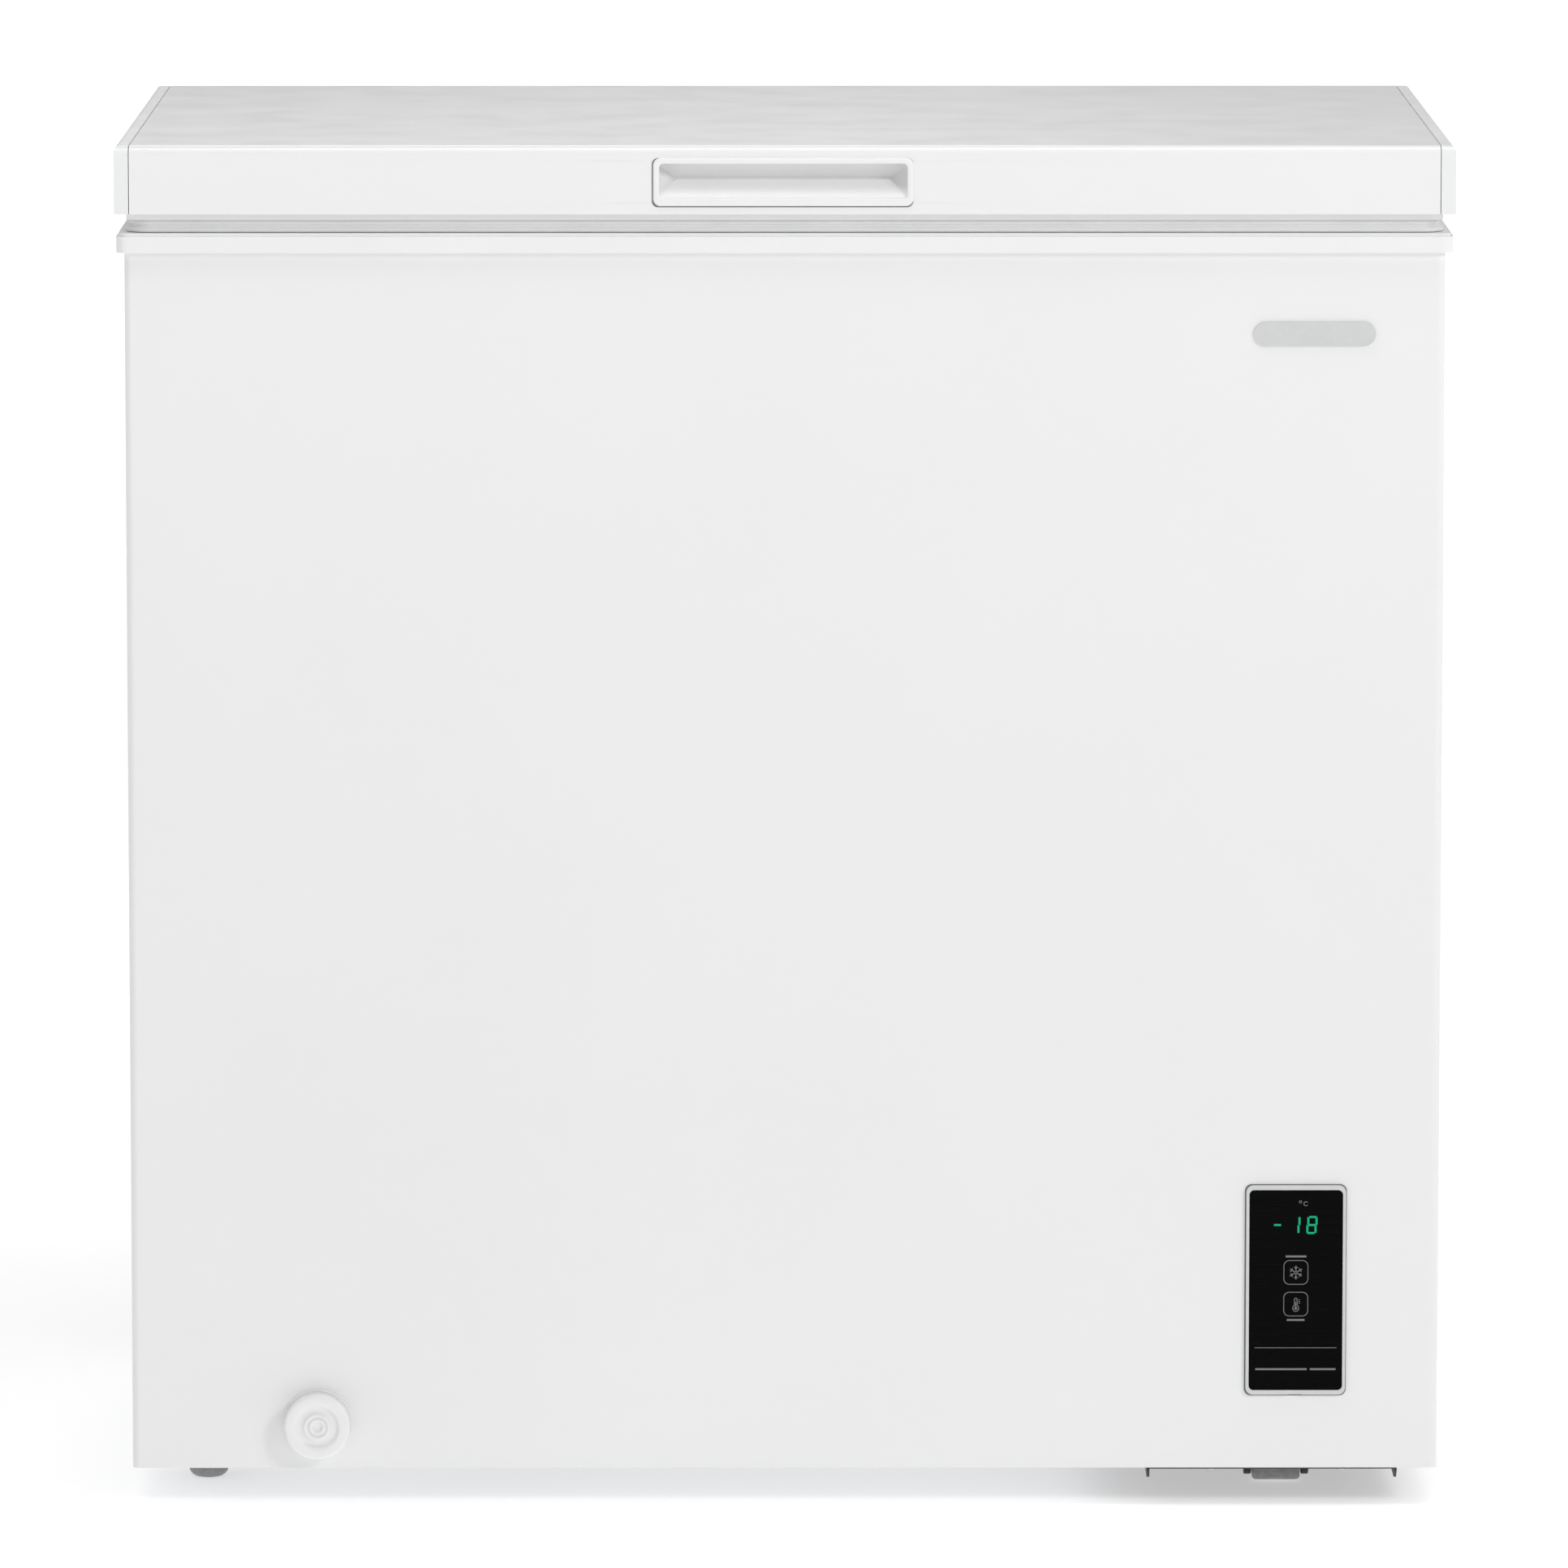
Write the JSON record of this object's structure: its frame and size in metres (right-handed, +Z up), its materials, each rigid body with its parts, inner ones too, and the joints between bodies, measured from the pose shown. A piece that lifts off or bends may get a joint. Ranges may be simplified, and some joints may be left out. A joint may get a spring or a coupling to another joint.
{
  "type": "chest freezer",
  "caption": "White chest freezer with a top-hinged foamed lid, recessed front handle, wire basket, small electronic panel, drain dial, rollers and levelling feet.",
  "frame": {"origin": "middle of the footprint on the floor, under the middle of the bounding box", "axes": "+Z up, -Y towards the front with the handle and panel, +X to the right as seen from the front"},
  "size_m": [0.825, 0.56, 0.85],
  "materials": {
    "white_enamel": "gloss",
    "white_trim": "satin",
    "white_plastic": "satin",
    "liner_plastic": "satin",
    "galvanised": "satin",
    "foam": "matte",
    "tube_aluminium": "satin",
    "tube_steel": "satin",
    "copper": "satin",
    "drain_pvc": "satin",
    "black_steel": "satin",
    "black_rubber": "matte",
    "zinc": "satin",
    "spring_steel": "satin",
    "black_plastic": "matte",
    "silver_bezel": "satin",
    "black_lens": "gloss",
    "green_light": "gloss",
    "grey_print": "matte",
    "circuit_board": "satin",
    "gasket": "matte",
    "white_wire": "gloss",
    "grey_foot": "satin",
    "grey_roller": "satin"
  },
  "bodies": {
    "cabinet": {"outer_wrap": "white_enamel", "rear_panel": "galvanised", "base_pan": "galvanised", "bay_liner": "galvanised", "foam_core": "foam", "inner_liner": "liner_plastic", "top_collar": "white_plastic", "evaporator_coil": "tube_aluminium", "condenser_coil": "tube_steel", "drain_tube": "drain_pvc", "drain_housing": "white_plastic", "compressor_plate": "black_steel", "compressor_shell": "black_steel", "compressor_grommets": "black_rubber", "compressor_bolts": "zinc", "relay_cover": "black_plastic", "refrigerant_pipes": "copper", "filter_drier": "copper", "control_bezel": "silver_bezel", "control_lens": "black_lens", "display_segments": "green_light", "panel_marks": "grey_print", "control_board": "circuit_board", "control_box": "white_plastic", "temp_sensor": "white_plastic", "rear_cover": "galvanised", "side_grille": "white_plastic", "body_screws": "zinc", "cord_gland": "black_rubber", "badge_plate": "silver_bezel", "hinge_bracket_left": "galvanised", "hinge_bracket_right": "galvanised", "hinge_spring_left": "spring_steel", "hinge_spring_right": "spring_steel", "hinge_pins": "zinc", "roller_brackets": "black_steel", "roller_axles": "zinc"},
    "lid": {"lid_skin": "white_enamel", "lid_side_trims": "white_trim", "lid_foam": "foam", "lid_frame": "white_plastic", "lid_liner": "liner_plastic", "lid_gasket": "gasket", "handle_insert": "white_plastic", "hinge_leaf_left": "galvanised", "hinge_leaf_right": "galvanised", "leaf_screws": "zinc"},
    "basket": {"basket_rim": "white_wire", "basket_cross_wires": "white_wire", "basket_long_wires": "white_wire"},
    "drain_knob": {"drain_dial": "white_plastic"},
    "drain_stopper": {"drain_plug": "white_plastic"},
    "super_button": {"super_key": "black_lens"},
    "temp_button": {"temp_key": "black_lens"},
    "front_roller": {"roller_front": "grey_roller"},
    "rear_roller": {"roller_rear": "grey_roller"},
    "front_foot": {"foot_front": "grey_foot"},
    "rear_foot": {"foot_rear": "grey_foot"},
    "plunger_left": {"hinge_plunger_left": "spring_steel"},
    "plunger_right": {"hinge_plunger_right": "spring_steel"}
  },
  "joints": [
    {"name": "lid_hinge", "type": "hinge", "parent": "cabinet", "child": "lid", "pos_m": [0, 0.27, 0.812], "axis": [-1, 0, 0], "range_deg": [0, 80], "stiffness_Nm_per_rad": 5, "springref_deg": 103.13},
    {"name": "plunger_left_slide", "type": "slide", "parent": "cabinet", "child": "plunger_left", "axis": [0, 0, 1], "range_m": [0, 0.0081], "deforming": ["hinge_spring_left"]},
    {"name": "plunger_right_slide", "type": "slide", "parent": "cabinet", "child": "plunger_right", "axis": [0, 0, 1], "range_m": [0, 0.0081], "deforming": ["hinge_spring_right"]},
    {"name": "basket_slide", "type": "slide", "parent": "cabinet", "child": "basket", "axis": [-1, 0, 0], "range_m": [0, 0.47]},
    {"name": "drain_dial_turn", "type": "hinge", "parent": "cabinet", "child": "drain_knob", "pos_m": [-0.2913, -0.267, 0.052], "axis": [0, -1, 0], "range_deg": [0, 180]},
    {"name": "drain_plug_lift", "type": "slide", "parent": "cabinet", "child": "drain_stopper", "axis": [0, 0, 1], "range_m": [0, 0.03]},
    {"name": "super_key_press", "type": "slide", "parent": "cabinet", "child": "super_button", "axis": [0, 1, 0], "range_m": [0, 0.0008], "stiffness_N_per_m": 400, "springref_m": -0.001},
    {"name": "temp_key_press", "type": "slide", "parent": "cabinet", "child": "temp_button", "axis": [0, 1, 0], "range_m": [0, 0.0008], "stiffness_N_per_m": 400, "springref_m": -0.001},
    {"name": "front_roller_spin", "type": "hinge", "parent": "cabinet", "child": "front_roller", "pos_m": [0.31, -0.18, 0.011], "axis": [1, 0, 0], "continuous": true},
    {"name": "rear_roller_spin", "type": "hinge", "parent": "cabinet", "child": "rear_roller", "pos_m": [0.31, 0.224, 0.011], "axis": [1, 0, 0], "continuous": true},
    {"name": "front_foot_turn", "type": "hinge", "parent": "cabinet", "child": "front_foot", "pos_m": [-0.364, -0.166, 0.012], "axis": [0, 0, 1], "continuous": true},
    {"name": "rear_foot_turn", "type": "hinge", "parent": "cabinet", "child": "rear_foot", "pos_m": [-0.364, 0.178, 0.012], "axis": [0, 0, 1], "continuous": true}
  ],
  "couplings": [
    {"joint": "plunger_left_slide", "follows": "lid_hinge", "m_per_rad": 0.0057296},
    {"joint": "plunger_right_slide", "follows": "lid_hinge", "m_per_rad": 0.0057296}
  ]
}
